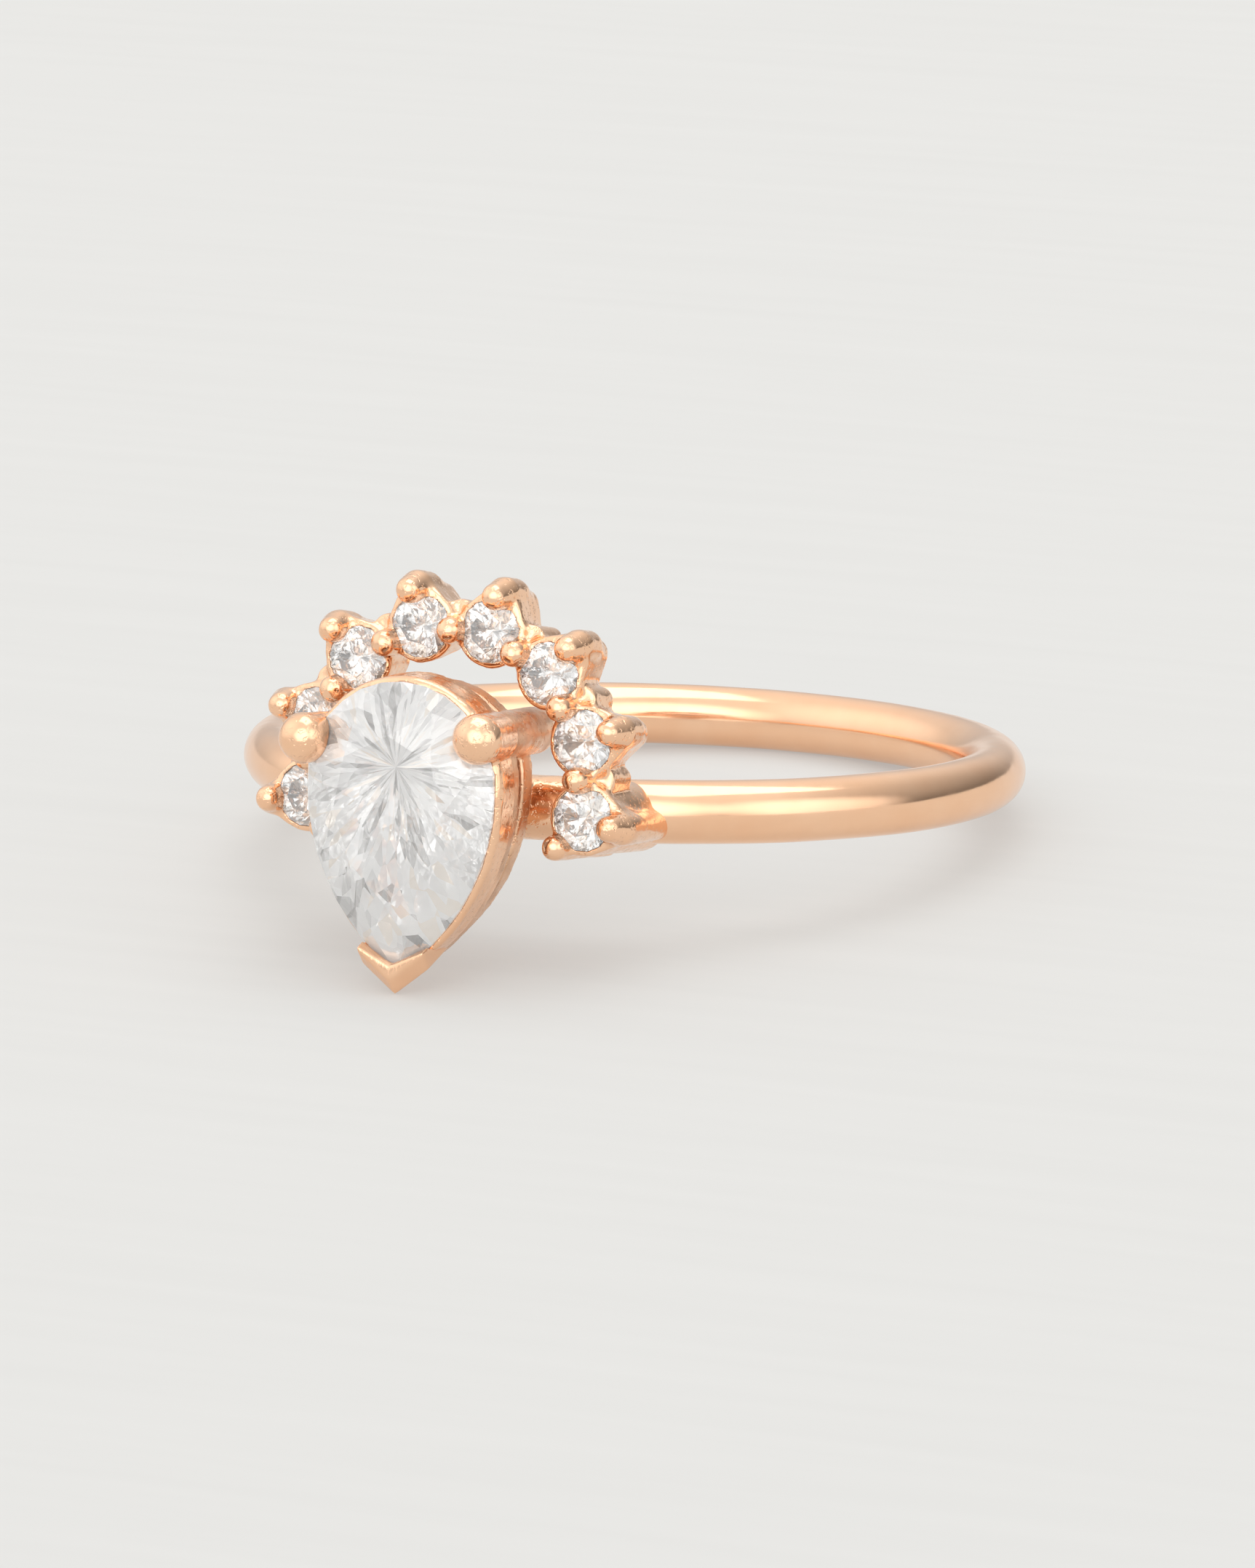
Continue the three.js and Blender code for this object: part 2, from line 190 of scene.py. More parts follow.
floor_z = cad_box[0][2]
floor_size = 6
light_from_below = 0.35
bpy.ops.object.select_all(action="DESELECT")
bpy.ops.mesh.primitive_plane_add(size=floor_size, location=(0, 0, floor_z))
floor = bpy.context.object
floor.name = "floor"
bpy.ops.object.transform_apply(location=True, rotation=True, scale=True)
paper, n, l = new_material("warm_white_paper")
coords = n.new("ShaderNodeTexCoord")
streaks = n.new("ShaderNodeMapping")
streaks.inputs["Rotation"].default_value = (0, 0, -azimuth)
streaks.inputs["Scale"].default_value = (60, 900, 900)
tooth = n.new("ShaderNodeTexNoise")
tooth.inputs["Scale"].default_value = 1
tooth.inputs["Detail"].default_value = 6
tint = n.new("ShaderNodeValToRGB")
tint.color_ramp.elements[0].color = (0.33, 0.328, 0.32, 1)
tint.color_ramp.elements[1].color = (0.36, 0.358, 0.35, 1)
l.new(coords.outputs["Object"], streaks.inputs["Vector"])
l.new(streaks.outputs["Vector"], tooth.inputs["Vector"])
l.new(tooth.outputs["Fac"], tint.inputs["Fac"])
sheet = n["Principled BSDF"]
l.new(tint.outputs["Color"], sheet.inputs["Base Color"])
sheet.inputs["Roughness"].default_value = 0.9
sheet.inputs["Specular IOR Level"].default_value = 0.1
sheet.inputs["Emission Color"].default_value = (1, 0.995, 0.975, 1)
sheet.inputs["Emission Strength"].default_value = light_from_below
floor.data.materials.append(paper)
print("floor at", floor_z)

# %% [markdown]
# Polished metal shows its surroundings, not itself. Jewellers shoot it inside a white tent
# with a few darker edges, which draw the form. The world is that tent, and broad soft glows
# on it stand for the lit panels. One overhead lamp adds the soft shadow under the ring.

# %% Light the ring
world = bpy.data.worlds.new("white_tent")
bpy.context.scene.world = world
world.use_nodes = True
n, l = world.node_tree.nodes, world.node_tree.links
sky_direction = n.new("ShaderNodeTexCoord")


def panel(toward, cosine_from, cosine_to, brightness):
    """A soft round glow on the tent: brightness falls off with the angle from its middle."""
    dot = n.new("ShaderNodeVectorMath")
    dot.operation = "DOT_PRODUCT"
    dot.inputs[1].default_value = Vector(toward).normalized()
    glow = n.new("ShaderNodeMapRange")
    glow.interpolation_type = "SMOOTHSTEP"
    glow.inputs["From Min"].default_value = cosine_from
    glow.inputs["From Max"].default_value = cosine_to
    glow.inputs["To Max"].default_value = brightness
    l.new(sky_direction.outputs["Generated"], dot.inputs[0])
    l.new(dot.outputs["Value"], glow.inputs["Value"])
    return glow.outputs["Result"]


def brighter(a, b):
    add = n.new("ShaderNodeMath")
    add.inputs[0].default_value = 0
    l.new(a, add.inputs[0])
    l.new(b, add.inputs[1])
    return add.outputs["Value"]


base_glow = panel((0, 0, 1), -1.0, 0.9, 1.05)
front_panel = panel((0.25, -1, 0.42), 0.72, 0.98, 1.2)
left_panel = panel((-1, -0.3, 0.35), 0.6, 0.98, 0.35)
right_panel = panel((1, -0.15, 0.25), 0.8, 0.98, 0.9)
dark_behind = panel((0.75, 0.65, 0.1), 0.45, 0.95, -0.4)
light = brighter(base_glow, front_panel)
for glow in (left_panel, right_panel, dark_behind):
    light = brighter(light, glow)
l.new(light, n["Background"].inputs["Strength"])
n["Background"].inputs["Color"].default_value = (1, 0.995, 0.98, 1)


def soft_lamp(name, place, size, power):
    """A square lamp that faces the ring."""
    spot = Vector(place)
    turn = spot.to_track_quat("Z", "Y").to_euler()
    bpy.ops.object.light_add(type="AREA", location=spot, rotation=turn)
    lamp = bpy.context.object
    lamp.name = name
    lamp.data.size = size
    lamp.data.energy = power
    print(name, "at", place, power, "W")


soft_lamp("overhead_lamp", (0.02, 0.12, 0.5), 0.4, 0.6)
bpy.context.scene.view_settings.view_transform = "Standard"

# %% [markdown]
# Rose gold is gold alloyed with copper. Its colour lives in its reflections, so the shader is
# a full metal with a warm pink base. A polished surface is never perfect: the alloy clouds
# slightly, the buff leaves hair-fine marks all one way, and a casting keeps tiny pits. One
# recipe makes them all, and each finish sets how strong they are.

# %% Mix the rose gold finishes
MICRON = 0.000001


def rose_gold(name, roughness, marks, pits, waves, buff=(1, 1, 1), shade=1.0):
    """A rose gold finish: marks, pits and waves are depths in microns; shade darkens the colour
    as painted shade.
    """
    material, n, l = new_material(name)
    metal = n["Principled BSDF"]
    metal.inputs["Metallic"].default_value = 1
    place = n.new("ShaderNodeTexCoord").outputs["Object"]

    def noise(scale, detail, stretch=(1, 1, 1)):
        spread = n.new("ShaderNodeMapping")
        spread.inputs["Scale"].default_value = [scale * s for s in stretch]
        texture = n.new("ShaderNodeTexNoise")
        texture.inputs["Scale"].default_value = 1
        texture.inputs["Detail"].default_value = detail
        l.new(place, spread.inputs["Vector"])
        l.new(spread.outputs["Vector"], texture.inputs["Vector"])
        return texture.outputs["Fac"]

    def between(value, low, high, out_low, out_high):
        remap = n.new("ShaderNodeMapRange")
        remap.inputs["From Min"].default_value = low
        remap.inputs["From Max"].default_value = high
        remap.inputs["To Min"].default_value = out_low
        remap.inputs["To Max"].default_value = out_high
        l.new(value, remap.inputs["Value"])
        return remap.outputs["Result"]

    def relief(height, depth, below):
        bump = n.new("ShaderNodeBump")
        bump.inputs["Strength"].default_value = 1
        bump.inputs["Distance"].default_value = depth * MICRON
        l.new(height, bump.inputs["Height"])
        if below:
            l.new(below, bump.inputs["Normal"])
        return bump.outputs["Normal"]

    clouds = n.new("ShaderNodeValToRGB")
    clouds.color_ramp.elements[0].position = 0.3
    # The darker end of the clouds is scaled by shade, which paints shade into the colour.
    clouds.color_ramp.elements[0].color = (0.97 * shade, 0.595 * shade, 0.375 * shade, 1)
    clouds.color_ramp.elements[1].position = 0.7
    clouds.color_ramp.elements[1].color = (1, 0.645, 0.425, 1)
    l.new(noise(700, 3), clouds.inputs["Fac"])
    l.new(clouds.outputs["Color"], metal.inputs["Base Color"])
    haze = between(noise(1600, 4), 0.3, 0.7, 0.75 * roughness, 1.3 * roughness)
    l.new(haze, metal.inputs["Roughness"])
    surface = relief(noise(900, 2), waves, None)
    surface = relief(noise(6000, 3, buff), marks, surface)
    if pits:
        surface = relief(between(noise(9000, 2), 0.3, 0.42, 0, 1), pits, surface)
    l.new(surface, metal.inputs["Normal"])
    return material


wire_polish = rose_gold("wire_polish", 0.15, 0.5, 0, 6, (0.12, 0.12, 1))
claw_polish = rose_gold("claw_polish", 0.13, 1.5, 8, 10)
cast_polish = rose_gold("cast_polish", 0.17, 4, 8, 18)
# Painted shade: the back of the basket has its colour darkened to 0.62 for its recess; its
# roughness, pits and waves are real.
raw_casting_painted_shade = rose_gold("raw_casting_painted_shade", 0.3, 9, 16, 30, shade=0.62)
filed_finish = rose_gold("filed_finish", 0.2, 34, 3, 6, (1, 0.15, 0.15))
finishes = (wire_polish, claw_polish, cast_polish, raw_casting_painted_shade, filed_finish)
print("finishes:", [finish.name for finish in finishes])

# %% [markdown]
# Diamond bends light more than any other clear stone, so its back facets act as mirrors. Seen
# from the front they break the view into narrow slivers, white, grey and here and there warm,
# that run out from the culet. Clear glass with this cut gives the shine, but alone it looks
# dark in so deep a stone, because light needs many bounces to leave it. So cells laid out
# round the culet, by angle and distance, paint those reflections into the colour: each sliver
# gets its own painted tone, a faint painted glow and a slight tilt.

# %% Give the diamonds their glass, with painted reflections


def glass_with_painted_reflections(name, bench, centre, clear, painted_glow, tilt, layers):
    """Glass with slivers of painted reflection round a centre, which also glow faintly as
    painted light; tilt is how far each one leans.

    Each layer gives the number of cells around the centre and their number per millimetre.
    """
    material, n, l = new_material(name)
    stone = n["Principled BSDF"]
    stone.inputs["Transmission Weight"].default_value = clear
    stone.inputs["IOR"].default_value = 2.42
    stone.inputs["Roughness"].default_value = 0
    place = n.new("ShaderNodeTexCoord").outputs["Object"]

    def combine(kind, operation, a, b):
        node = n.new(kind)
        node.operation = operation
        for socket, value in zip(node.inputs, (a, b)):
            if isinstance(value, bpy.types.NodeSocket):
                l.new(value, socket)
            else:
                socket.default_value = value
        return node.outputs

    def vector_math(operation, a, b):
        return combine("ShaderNodeVectorMath", operation, a, b)

    def number_math(operation, a, b):
        return combine("ShaderNodeMath", operation, a, b)["Value"]

    flat = n.new("ShaderNodeCombineXYZ")
    sides = []
    for i in range(2):
        axis = Vector(bench.col[i][:3])
        span = vector_math("DOT_PRODUCT", place, axis / MM)["Value"]
        sides.append(number_math("SUBTRACT", span, bench.translation.dot(axis) + centre[i]))
        l.new(sides[i], flat.inputs[i])
    angle = number_math("ARCTAN2", sides[1], sides[0])
    distance = vector_math("LENGTH", flat.outputs["Vector"], (0, 0, 0))["Value"]
    tone, lean = None, None
    for around, per_mm in layers:
        cell = n.new("ShaderNodeCombineXYZ")
        l.new(number_math("MULTIPLY", angle, around / math.tau), cell.inputs[0])
        l.new(number_math("MULTIPLY", distance, per_mm), cell.inputs[1])
        cells = n.new("ShaderNodeTexVoronoi")
        cells.voronoi_dimensions = "2D"
        cells.inputs["Scale"].default_value = 1
        l.new(cell.outputs["Vector"], cells.inputs["Vector"])
        colour = cells.outputs["Color"]
        split = n.new("ShaderNodeSeparateColor")
        l.new(colour, split.inputs["Color"])
        share = number_math("MULTIPLY", split.outputs["Red"], 1 / len(layers))
        tone = number_math("ADD", tone, share) if tone else share
        off = vector_math("SUBTRACT", colour, (0.5, 0.5, 0.5))["Vector"]
        lean = vector_math("ADD", lean, off)["Vector"] if lean else off
    # The ramp paints reflections into the colour: grey and white slivers, and a warm band for
    # the gold seen in the back facets.
    ramp = n.new("ShaderNodeValToRGB")
    ramp.color_ramp.elements[0].position = 0.2
    ramp.color_ramp.elements[0].color = (0.34, 0.335, 0.33, 1)
    ramp.color_ramp.elements[1].position = 0.46
    ramp.color_ramp.elements[1].color = (1, 1, 1, 1)
    for position, colour in (
        (0.7, (1, 1, 1, 1)), (0.72, (1, 0.93, 0.85, 1)), (0.78, (1, 0.93, 0.85, 1))
    ):
        ramp.color_ramp.elements.new(position).color = colour
    l.new(tone, ramp.inputs["Fac"])
    l.new(ramp.outputs["Color"], stone.inputs["Base Color"])
    # The painted reflections also glow as painted light, by a small strength (0.05 for the pear,
    # 0.03 for the small stones).
    l.new(ramp.outputs["Color"], stone.inputs["Emission Color"])
    stone.inputs["Emission Strength"].default_value = painted_glow
    facing = n.new("ShaderNodeNewGeometry").outputs["Normal"]
    lean = vector_math("MULTIPLY", lean, (tilt, tilt, tilt))["Vector"]
    tilted = vector_math("ADD", facing, lean)["Vector"]
    l.new(vector_math("NORMALIZE", tilted, (0, 0, 0))["Vector"], stone.inputs["Normal"])
    return material


pear_layers = ((24, 0.7), (46, 1.6), (74, 1.1))
small_layers = ((9, 1.2), (17, 2.5))
culet = pear_centre + Vector((0.25, 0.55, 0))
for node, stone in nodes.items():
    if "diamond" not in node:
        continue
    if node == "pear_diamond":
        glass = glass_with_painted_reflections("pear_glass", head_bench, culet, 0.66, 0.05, 0.2, pear_layers)
    else:
        centre = stones[int(node[-1]) - 1]
        glass = glass_with_painted_reflections(
            node + "_glass", arch_bench, centre, 0.88, 0.03, 0.08, small_layers
        )
    stone.data.materials.clear()
    stone.data.materials.append(glass)
print("stones in glass:", sum("diamond" in node for node in nodes))

# %% [markdown]
# The same few moves shape every gold piece, so they are helpers: pick an object, pick some of
# its faces, join parts, apply a modifier, and carry a finished shape from the bench home.

# %% Bench helpers


def pick(*pieces):
    bpy.ops.object.select_all(action="DESELECT")
    for piece in pieces:
        piece.select_set(True)
    bpy.context.view_layer.objects.active = pieces[0]


def edit_faces(piece, chosen):
    """Opens edit mode with only the chosen faces selected."""
    pick(piece)
    bpy.ops.object.mode_set(mode="EDIT")
    bpy.ops.mesh.select_mode(type="FACE")
    bpy.ops.mesh.select_all(action="DESELECT")
    bpy.ops.object.mode_set(mode="OBJECT")
    for face in piece.data.polygons:
        face.select = chosen(face)
    bpy.ops.object.mode_set(mode="EDIT")


def joined(name, pieces):
    pick(*pieces)
    bpy.ops.object.join()
    bpy.context.object.name = name
    return bpy.context.object


def apply_modifier(piece, kind, **settings):
    pick(piece)
    modifier = piece.modifiers.new(kind.lower(), kind)
    for key, value in settings.items():
        setattr(modifier, key, value)
    bpy.ops.object.modifier_apply(modifier=modifier.name)


def placed(piece, matrix):
    """Moves a shape by a matrix and puts the move into its mesh."""
    pick(piece)
    piece.matrix_world = matrix @ piece.matrix_world
    bpy.ops.object.transform_apply(location=True, rotation=True, scale=True)
    return piece


def copy_of(piece, name):
    pick(piece)
    bpy.ops.object.duplicate()
    twin = bpy.context.object
    twin.name = name
    twin.parent = None
    return twin


def carried_home(piece, bench):
    """Takes a finished shape from its bench to the ring, in metres."""
    return placed(piece, Matrix.Scale(MM, 4) @ bench)


def finished(piece, finish, slot, *replaced):
    """Gives a piece its finish and lets it ride with the ring."""
    piece.data.materials.clear()
    piece.data.materials.append(finish)
    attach(piece, "root")
    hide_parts(*replaced)
    print(piece.name, len(piece.data.polygons), "faces")


# %% [markdown]
# The band is a round wire bent to a circle and soldered shut. A ring shape with the wire's
# section is the honest start. A hand-finished wire wavers by a hundredth of a millimetre,
# and those slow waves are what make its reflections look like metal and not like plastic.

# %% Bend the band
band_radius, wire_radius = 9.3, 0.8
outer_radius = band_radius + wire_radius


def hand_waves(piece, size, depth):
    """Slow unevenness over a shape, as a file and a buff leave it."""
    waves = bpy.data.textures.new(piece.name + "_waves", "CLOUDS")
    waves.noise_scale = size
    waves.noise_depth = 1
    apply_modifier(piece, "DISPLACE", texture=waves, strength=depth, mid_level=0.5)


def wire_circle(name, radius, steps, sides):
    """A closed circle of wire round the finger, on the head's bench."""
    bpy.ops.object.select_all(action="DESELECT")
    bpy.ops.mesh.primitive_torus_add(
        major_radius=band_radius,
        minor_radius=radius,
        major_segments=steps,
        minor_segments=sides,
        rotation=(math.pi / 2, 0, 0),
    )
    wire = bpy.context.object
    wire.name = name
    return placed(wire, Matrix.Identity(4))


band = wire_circle("rose_gold_band", wire_radius, 288, 56)
hand_waves(band, 3.0, 0.03)
pick(band)
bpy.ops.object.shade_smooth()
carried_home(band, head_bench)
finished(band, wire_polish, "band_gold", "band")

# %% [markdown]
# The pear sits in a basket of two rails that follow its outline. The outline is three arcs:
# a long one up each side and a tight one round the top. So a rail is a small section spun
# about each arc's centre in turn. Its outer front edge is bevelled before it is spun.

# %% Measure the pear's arcs
tip_angle = math.radians(58)
round_end = pear_width / 2
reach = pear_length - round_end
side_radius = (reach ** 2 - round_end ** 2) / (2 * (reach * math.sin(tip_angle) - round_end))
side_x = side_radius * math.cos(tip_angle)
side_y = side_radius * math.sin(tip_angle) - reach
shoulder = math.atan2(-side_y, side_x)
print("side arcs:", side_radius, "mm, meeting the round end at", math.degrees(shoulder))

# %% Spin a rail


def rail(name, out, wall, back, front, bevel):
    """A rail along the pear's outline, out from the girdle by out and wall thick."""
    outer = side_radius + out
    start = -math.acos(side_x / outer)
    run = Vector((math.cos(start), math.sin(start), 0))
    centre = Vector((0, pear_centre.y, 0))
    middle = centre + Vector((-side_x, side_y, 0)) + run * (outer - wall / 2)
    middle.z = (back + front) / 2
    bpy.ops.object.select_all(action="DESELECT")
    bpy.ops.mesh.primitive_plane_add(size=1)
    piece = bpy.context.object
    piece.name = name
    axes = Matrix((run, Vector((0, 0, 1)), run.cross(Vector((0, 0, 1))))).transposed().to_4x4()
    size = Matrix.Diagonal((wall, front - back, 1, 1))
    placed(piece, Matrix.Translation(middle) @ axes @ size)
    edge = max(piece.data.vertices, key=lambda v: v.co.z * 10 + (v.co - middle).dot(run)).index
    pick(piece)
    bpy.ops.object.mode_set(mode="EDIT")
    bpy.ops.mesh.select_mode(type="VERT")
    bpy.ops.mesh.select_all(action="DESELECT")
    bpy.ops.object.mode_set(mode="OBJECT")
    piece.data.vertices[edge].select = True
    bpy.ops.object.mode_set(mode="EDIT")
    bpy.ops.mesh.bevel(offset=bevel, segments=2, affect="VERTICES")
    bpy.ops.mesh.select_all(action="SELECT")
    arcs = (
        (Vector((-side_x, side_y, 0)), shoulder - start, 64),
        (Vector((0, 0, 0)), math.pi - 2 * shoulder, 72),
        (Vector((side_x, side_y, 0)), shoulder - start, 64),
    )
    for arc_middle, angle, steps in arcs:
        bpy.ops.mesh.spin(
            steps=steps, angle=-angle, center=tuple(centre + arc_middle), axis=(0, 0, 1)
        )
    bpy.ops.mesh.select_all(action="SELECT")
    bpy.ops.mesh.remove_doubles(threshold=0.0005)
    bpy.ops.mesh.normals_make_consistent(inside=False)
    bpy.ops.object.mode_set(mode="OBJECT")
    xs = [v.co.x for v in piece.data.vertices]
    ys = [v.co.y for v in piece.data.vertices]
    print(name, "x", min(xs), max(xs), "y", min(ys), max(ys))
    return piece


pear_z = pear_centre.z
upper_rail = rail("upper_rail", 0.12, 0.92, pear_z - 1.2, pear_z - 0.05, 0.16)
middle_rail = rail("middle_rail", -0.2, 0.85, pear_z - 2.6, pear_z - 2.05, 0.05)
base_rail = rail("base_rail", -0.85, 0.5, outer_radius - 0.4, pear_z - 2.55, 0.02)

# %% [markdown]
# A claw is a tapered wire with a ball melted or carved at its tip, pushed over the stone's
# edge. The same form serves the pear's shoulders and the arch, at different sizes.

# %% Make a claw


def claw(name, *stations):
    """A rounded wire through its stations, each a place and a radius, from the ball back."""
    parts = []
    for (high, high_radius), (low, low_radius) in zip(stations, stations[1:]):
        bpy.ops.mesh.primitive_cone_add(
            vertices=32,
            radius1=low_radius,
            radius2=high_radius,
            depth=(high - low).length,
            location=(low + high) / 2,
            rotation=(high - low).to_track_quat("Z", "Y").to_euler(),
        )
        parts.append(bpy.context.object)
    for place, radius in stations:
        bpy.ops.mesh.primitive_uv_sphere_add(
            segments=32, ring_count=18, radius=radius, location=place
        )
        parts.append(bpy.context.object)
    return joined(name, parts)


def ball_of(bench, node, ball_radius):
    """The middle of a measured claw's ball."""
    tip = max(on_bench(bench, node), key=lambda p: p.z)
    return tip - Vector((0, 0, ball_radius))


shoulder_ball, shoulder_post = 0.64, 0.6
shoulder_overhang, shoulder_rise, shoulder_lean = 0.11, 0.46, 0.5
shoulder_claws = []
for side, angle in ((-1, 22.5), (1, 30.5)):
    direction = Vector((side * math.cos(math.radians(angle)), math.sin(math.radians(angle)), 0))
    out = pear_width / 2 + shoulder_overhang
    ball = pear_centre + direction * out + Vector((0, 0, shoulder_rise))
    root = pear_centre + direction * (out - shoulder_lean)
    root.z = outer_radius
    waist = ball + (root - ball).normalized() * 1.1
    stations = ((ball, shoulder_ball), (waist, shoulder_post), (root, shoulder_post))
    shoulder_claws.append(claw("shoulder_claw", *stations))
print("shoulder claws:", len(shoulder_claws))

# %% [markdown]
# Rails, claws and the first stretch of band were cast or soldered as one, so the joints have
# soft fillets. Separate parts joined and remeshed with fine cells melt together the same way,
# and a light smoothing rounds the inner corners like polished solder.

# %% Cast the basket


def cast(name, parts, cell, smoothing):
    """Melts parts into one skin: cell is the size of its mesh in millimetres."""
    casting = joined(name, parts)
    apply_modifier(casting, "REMESH", mode="VOXEL", voxel_size=cell, adaptivity=0.0)
    apply_modifier(casting, "SMOOTH", factor=0.5, iterations=smoothing)
    return casting


def stone_space(name, node_names, growth):
    """The room that stones take, grown a little, on the head's bench."""
    spaces = []
    for node in node_names:
        space = copy_of(nodes[node], name)
        placed(space, head_bench.inverted() @ Matrix.Scale(1 / MM, 4))
        bpy.ops.object.mode_set(mode="EDIT")
        bpy.ops.mesh.select_all(action="SELECT")
        bpy.ops.mesh.remove_doubles(threshold=0.001)
        bpy.ops.object.mode_set(mode="OBJECT")
        points = [v.co for v in space.data.vertices]
        middle = sum(points, Vector()) / len(points)
        grow = Matrix.Translation(middle) @ Matrix.Scale(growth, 4) @ Matrix.Translation(-middle)
        spaces.append(placed(space, grow))
    return joined(name, spaces)


def cut_away(piece, cutter):
    apply_modifier(piece, "BOOLEAN", operation="DIFFERENCE", object=cutter, solver="MANIFOLD")
    bpy.data.objects.remove(cutter)


shank = wire_circle("shank", wire_radius + 0.015, 288, 48)
shank_reach = math.radians(18)
for side in (-1, 1):
    edit_faces(shank, lambda face: True)
    normal = (side * math.cos(shank_reach), 0, -math.sin(shank_reach))
    bpy.ops.mesh.bisect(plane_co=(0, 0, 0), plane_no=normal, use_fill=True, clear_outer=True)
    bpy.ops.object.mode_set(mode="OBJECT")
basket = cast("basket_casting", [upper_rail, middle_rail, base_rail, shank, *shoulder_claws],
              0.05, 5)
hand_waves(basket, 0.5, 0.03)
cut_away(basket, stone_space("pear_space", ["pear_diamond"], 1.008))
pick(basket)
bpy.ops.object.shade_smooth_by_angle(angle=math.radians(40))
carried_home(basket, head_bench)
finished(
    basket, cast_polish, "basket_gold", "upper_gallery_rail", "middle_gallery_rail",
    "head_base", "left_shoulder_claw", "right_shoulder_claw",
)

# %% [markdown]
# A polishing wheel reaches the front of the basket but not the parts behind it. There the
# casting keeps its rough skin, and painted shade darkens its colour in that recess. The faces
# between the front of the upper rail and the shank get that finish. The shank itself is polished
# again, because it touches the finger.

# %% Leave the back of the basket rough, with painted shade
# These faces, picked by depth out of the finger, take the rough finish with its painted shade.
rough_shade_from, rough_shade_to = outer_radius + 0.1, pear_z - 0.85
basket.data.materials.append(raw_casting_painted_shade)
rough_shaded_faces = 0
for face in basket.data.polygons:
    depth = face.center.dot(pear_out) / MM
    if rough_shade_from < depth < rough_shade_to:
        face.material_index = 1
        rough_shaded_faces += 1
print("rough faces:", rough_shaded_faces)

# %% [markdown]
# The V claw guards the pear's fragile point. It is a bent strip, filed to two flat faces that
# meet in a ridge. Its measured form has the right planes, so a copy of it is cleaned and its
# edges are softened with a narrow bevel. A fine remesh and a long smoothing then wear down the
# lowest point and the ends of the arms, as emery does.

# %% File the V claw
v_claw = copy_of(nodes["v_claw"], "filed_v_claw")
placed(v_claw, head_bench.inverted() @ Matrix.Scale(1 / MM, 4))
bpy.ops.object.mode_set(mode="EDIT")
bpy.ops.mesh.select_all(action="SELECT")
bpy.ops.mesh.remove_doubles(threshold=0.001)
bpy.ops.mesh.dissolve_limited(angle_limit=math.radians(2))
bpy.ops.object.mode_set(mode="OBJECT")
apply_modifier(
    v_claw, "BEVEL", width=0.1, segments=4, limit_method="ANGLE", angle_limit=math.radians(25)
)
v_claw = cast("filed_v_claw", [v_claw], 0.035, 24)
pick(v_claw)
bpy.ops.object.shade_smooth_by_angle(angle=math.radians(30))
carried_home(v_claw, head_bench)
finished(v_claw, filed_finish, "filed_gold", "v_claw")

# %% [markdown]
# Each small diamond sits in a collet, and each collet swells outward into its claw. Round
# posts of falling size, from the stone out to the claw, make that teardrop wall. The first
# set is made for one stone, facing up the bench, and copied round the arch for the others.

# %% Build one collet and copy it round the arch
arch_back, end_back = -1.6, -3.4


def post(x, y, radius, front, back=arch_back, taper=1.0):
    """A round post out of the bench: taper is the share of its radius left at the back."""
    bpy.ops.mesh.primitive_cone_add(
        vertices=48,
        radius1=radius * taper,
        radius2=radius,
        depth=front - back,
        location=(x, y, (front + back) / 2),
    )
    return bpy.context.object


wall_radius = small_radius + 0.15
steps = (
    (0, wall_radius, 0.05),
    (0.22, 0.86 * wall_radius, 0.0),
    (0.45, 0.72 * wall_radius, -0.08),
    (0.7, 0.56 * wall_radius, -0.12),
)
first_collet = joined(
    "collet", [post(0, y, radius, front, taper=0.72) for y, radius, front in steps]
)
arch_parts = []
for place, away in zip(stones, outward):
    turn = Matrix.Rotation(math.atan2(-away.x, away.y), 4, "Z")
    collet = copy_of(first_collet, "collet_copy")
    arch_parts.append(placed(collet, Matrix.Translation((place.x, place.y, 0)) @ turn))
for place in (stones[0], stones[7]):
    arch_parts.append(post(place.x, place.y, wall_radius - 0.05, -0.5, end_back))
bpy.data.objects.remove(first_collet)
print("collets:", len(arch_parts))

# %% Add the claws and webs of the arch


def behind(ball, back, out=Vector()):
    """A place behind a claw's ball, at a depth of the bench, moved by out."""
    return Vector((ball.x, ball.y, back)) + out


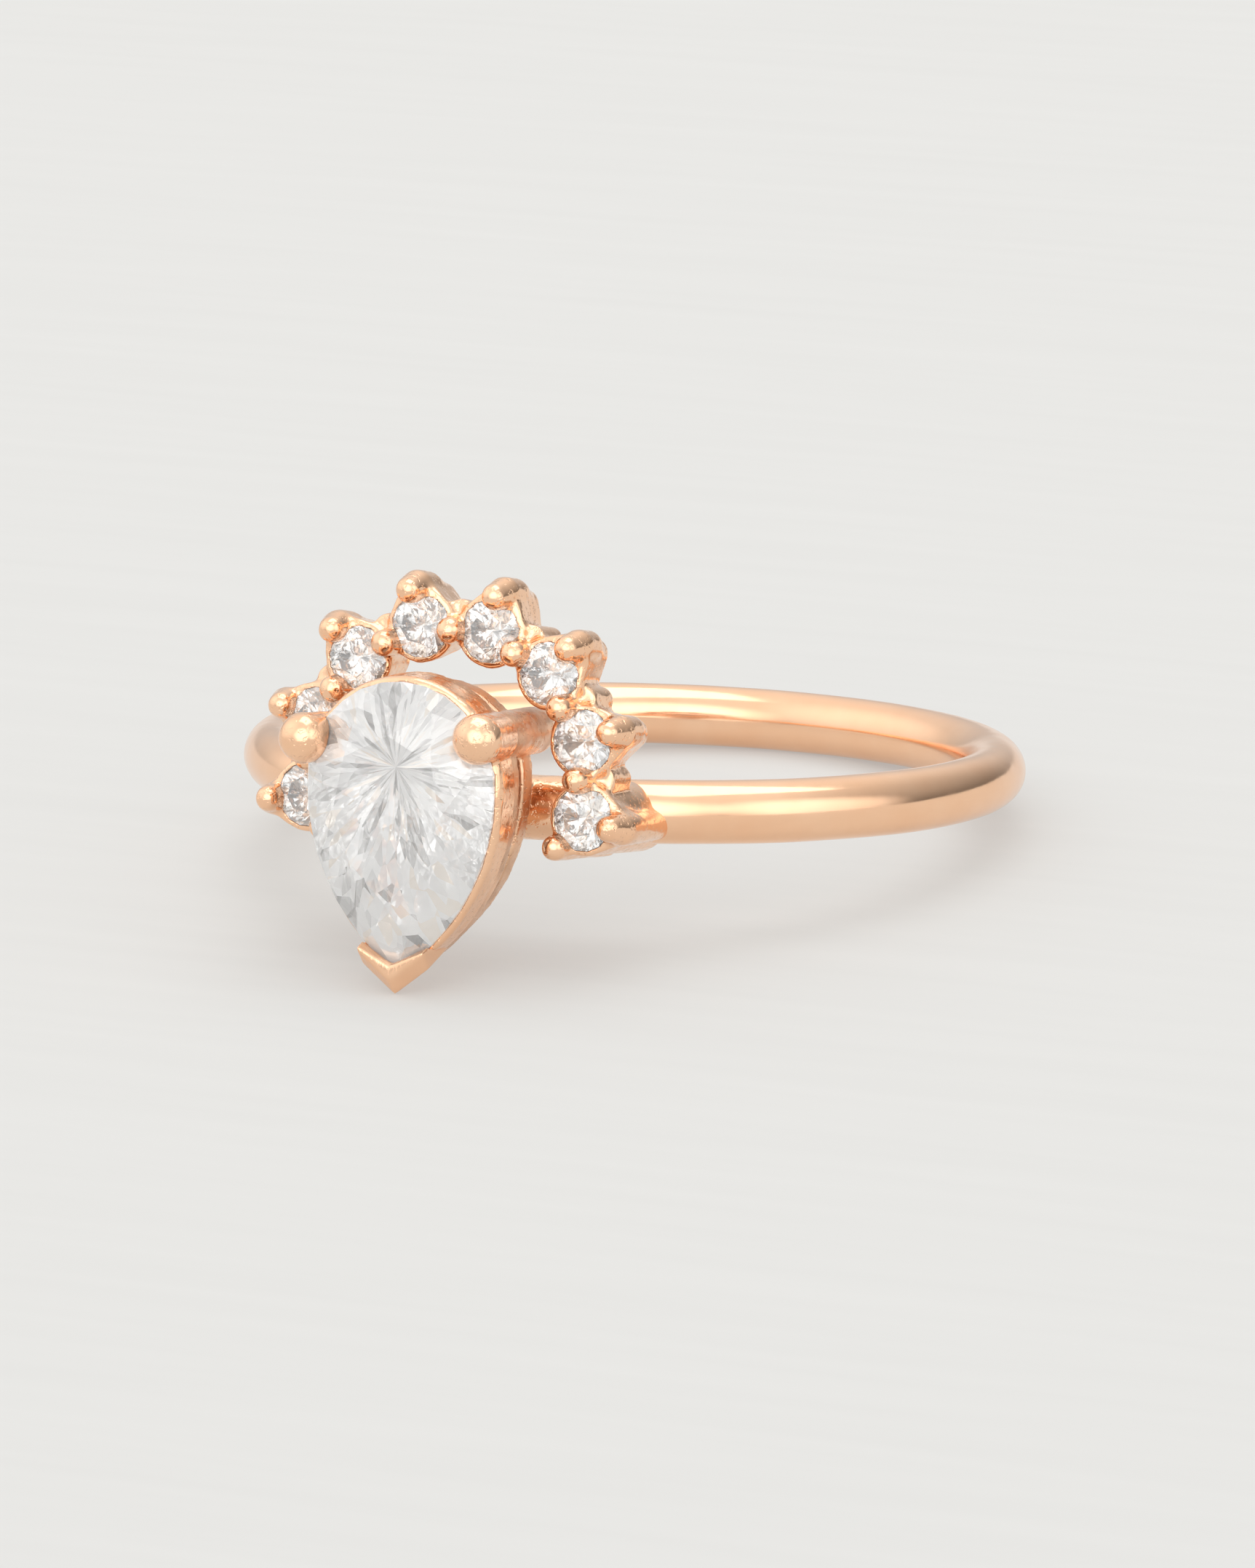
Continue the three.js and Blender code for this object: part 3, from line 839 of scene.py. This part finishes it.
outer_ball, outer_body, outer_root = 0.34, 0.42, 0.36
shared_ball, end_ball = 0.35, 0.33
for i in stone_numbers:
    ball = ball_of(arch_bench, f"outer_claw_{i}", outer_ball)
    away = outward[i - 1]
    nape = behind(ball, ball.z - 0.5, away * 0.1)
    waist = behind(ball, ball.z - 1.05, away * 0.06)
    root = behind(ball, end_back if i in (1, 8) else arch_back + outer_root, away * -0.15)
    stations = ((ball, outer_ball), (nape, outer_body), (waist, outer_body), (root, outer_root))
    arch_parts.append(claw("outer", *stations))
for i in range(1, 8):
    ball = ball_of(arch_bench, f"shared_claw_{i}_{i + 1}", shared_ball)
    root = behind(ball, arch_back + 0.3)
    arch_parts.append(claw("shared", (ball, shared_ball), (root, 0.28)))
    between = (stones[i - 1] + stones[i]) / 2
    web = between + (between - arch_centre).normalized() * 0.34
    arch_parts.append(post(web.x, web.y, 0.42, -0.16, arch_back + 0.15, 0.8))
for i in (1, 8):
    ball = ball_of(arch_bench, f"end_claw_{i}", end_ball)
    arch_parts.append(claw("end", (ball, end_ball), (behind(ball, end_back), 0.29)))
print("parts of the arch:", len(arch_parts))

# %% [markdown]
# The arch is one casting too. The parts are melted together, each collet is drilled, and the
# finger's room is cut out of the two ends, which run into the band. A second melt rounds
# those edges like the rest. Only then is the room for each stone cut, so it stays crisp.

# %% Cast the arch
arch = cast("arch_casting", arch_parts, 0.06, 2)
drill_radius, room_radius, room_length = 0.45, 9.1, 4.4
cut_away(arch, joined("drill", [post(p.x, p.y, drill_radius, 0.3, -6) for p in stones]))
placed(arch, head_bench.inverted() @ arch_bench)
bpy.ops.mesh.primitive_cylinder_add(
    vertices=180, radius=room_radius, depth=room_length, rotation=(math.pi / 2, 0, 0)
)
cut_away(arch, placed(bpy.context.object, Matrix.Identity(4)))
arch = cast("arch_casting", [arch], 0.055, 6)
hand_waves(arch, 0.5, 0.03)
small_names = [f"small_diamond_{i}" for i in stone_numbers]
cut_away(arch, stone_space("small_space", small_names, 1.02))
back_ends = [v.co.z for v in arch.data.vertices if abs(v.co.x) < 1 and v.co.y > 4]
print("the top of the arch runs back to", min(back_ends))
pick(arch)
bpy.ops.object.shade_smooth_by_angle(angle=math.radians(40))
carried_home(arch, head_bench)
finished(
    arch, claw_polish, "claw_gold",
    *[f"collet_{i}" for i in stone_numbers],
    *[f"outer_claw_{i}" for i in stone_numbers],
    *[f"shared_claw_{i}_{i + 1}" for i in range(1, 8)],
    "end_claw_1", "end_claw_8",
)
